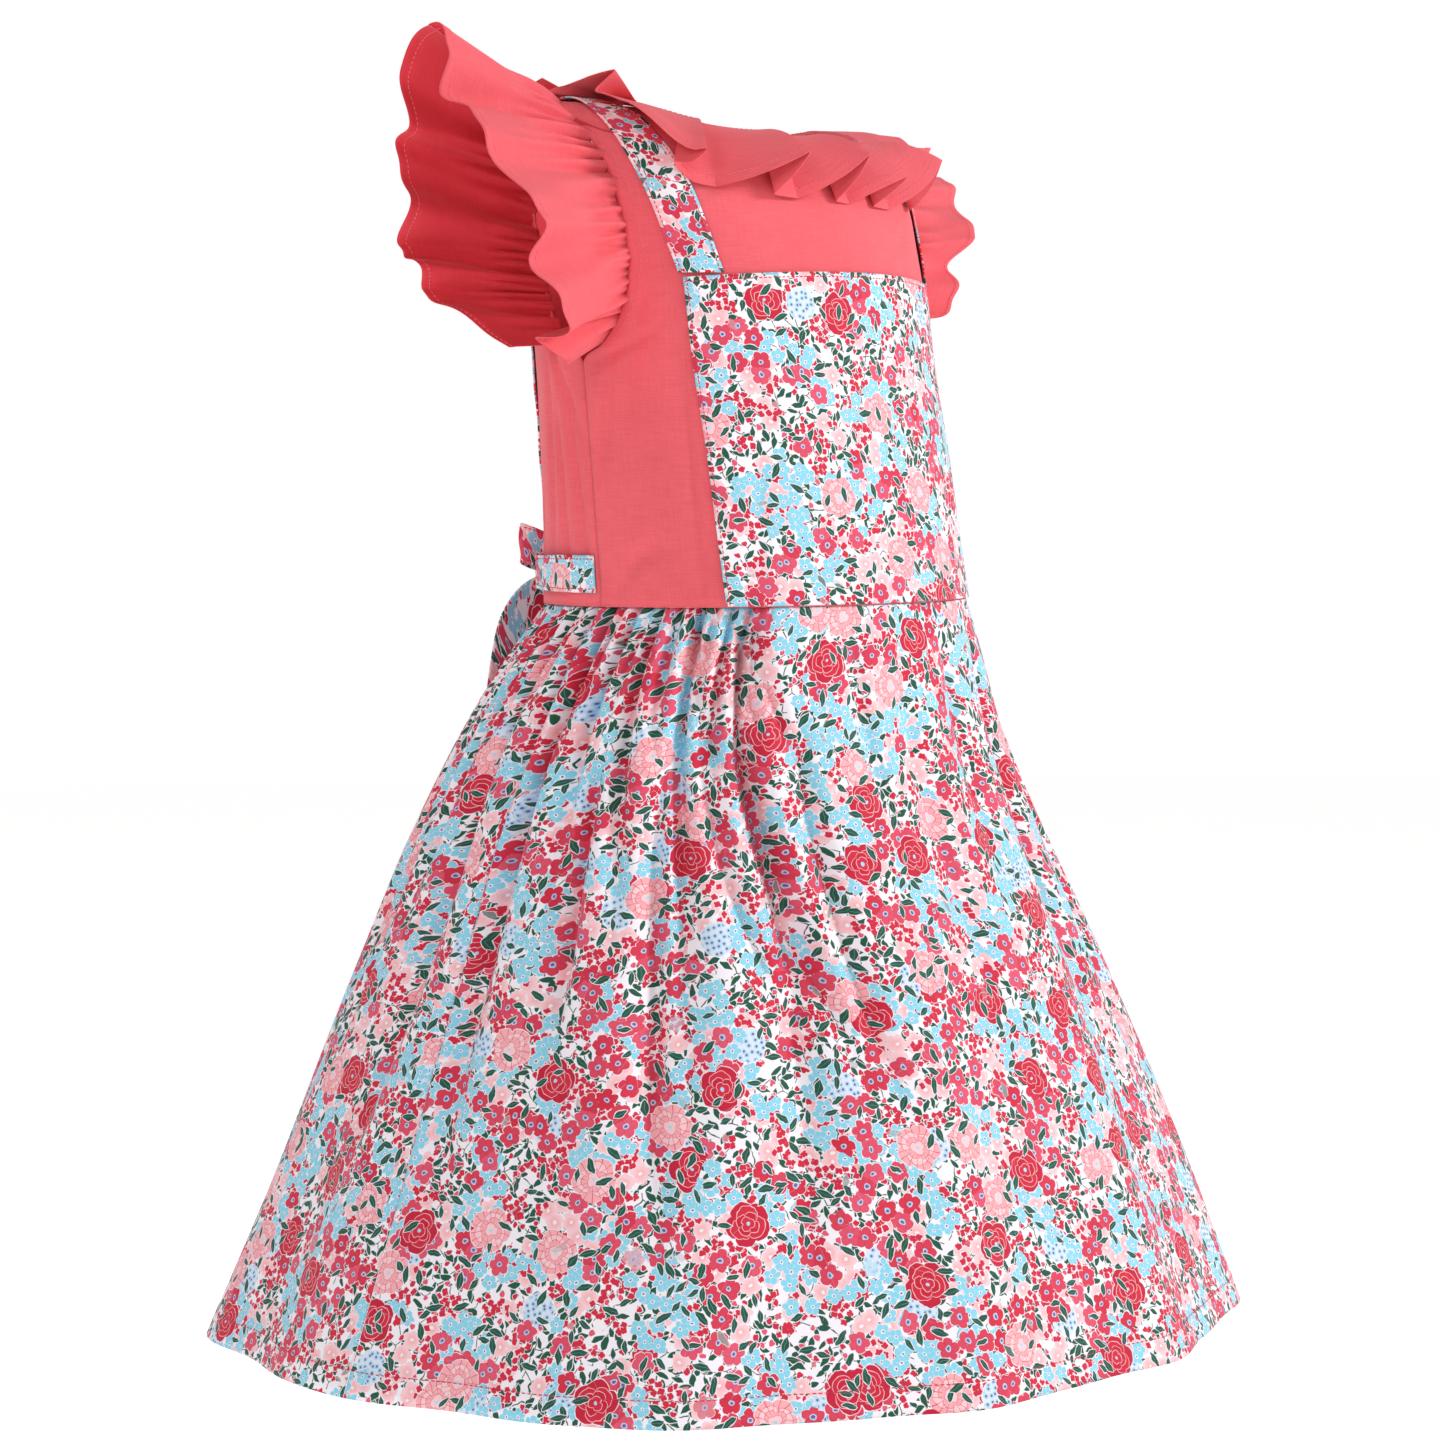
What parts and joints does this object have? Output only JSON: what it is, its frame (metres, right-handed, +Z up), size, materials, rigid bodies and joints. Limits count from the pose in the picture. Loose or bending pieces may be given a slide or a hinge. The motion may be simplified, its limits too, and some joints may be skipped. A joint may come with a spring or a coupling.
{
  "type": "fit and flare dress",
  "caption": "Child's sleeveless fit and flare dress with a bib and straps, pleated neck ruffle, flutter sleeve ruffles, gathered skirt and a bow at the back, in its worn form.",
  "frame": {"origin": "midway between the two shoulder tips, where the wearer holds the dress up", "axes": "+Z up from the hem to the shoulders, -Y towards the front of the dress, +X towards the wearer's left"},
  "size_m": [0.5674, 0.5418, 0.67],
  "materials": {
    "coral_poplin": "plain woven cotton, matt",
    "floral_cotton": "printed woven cotton, small flowers on a pale ground",
    "red_button": "smooth, half gloss"
  },
  "bodies": {
    "root": {"bodice_front": "coral_poplin", "bodice_back_left": "coral_poplin", "bodice_back_right": "coral_poplin", "back_placket": "coral_poplin", "neck_ruffle": "coral_poplin", "sleeve_ruffle_left": "coral_poplin", "sleeve_ruffle_right": "coral_poplin", "bib": "floral_cotton", "strap_left": "floral_cotton", "strap_right": "floral_cotton", "skirt_front": "floral_cotton", "skirt_back": "floral_cotton", "tie_left": "floral_cotton", "tie_right": "floral_cotton", "bow_knot": "floral_cotton", "bow_loop_left": "floral_cotton", "bow_loop_right": "floral_cotton", "bow_tail_left": "floral_cotton", "bow_tail_right": "floral_cotton", "button_1": "red_button", "button_2": "red_button", "button_3": "red_button", "button_4": "red_button"}
  },
  "joints": []
}
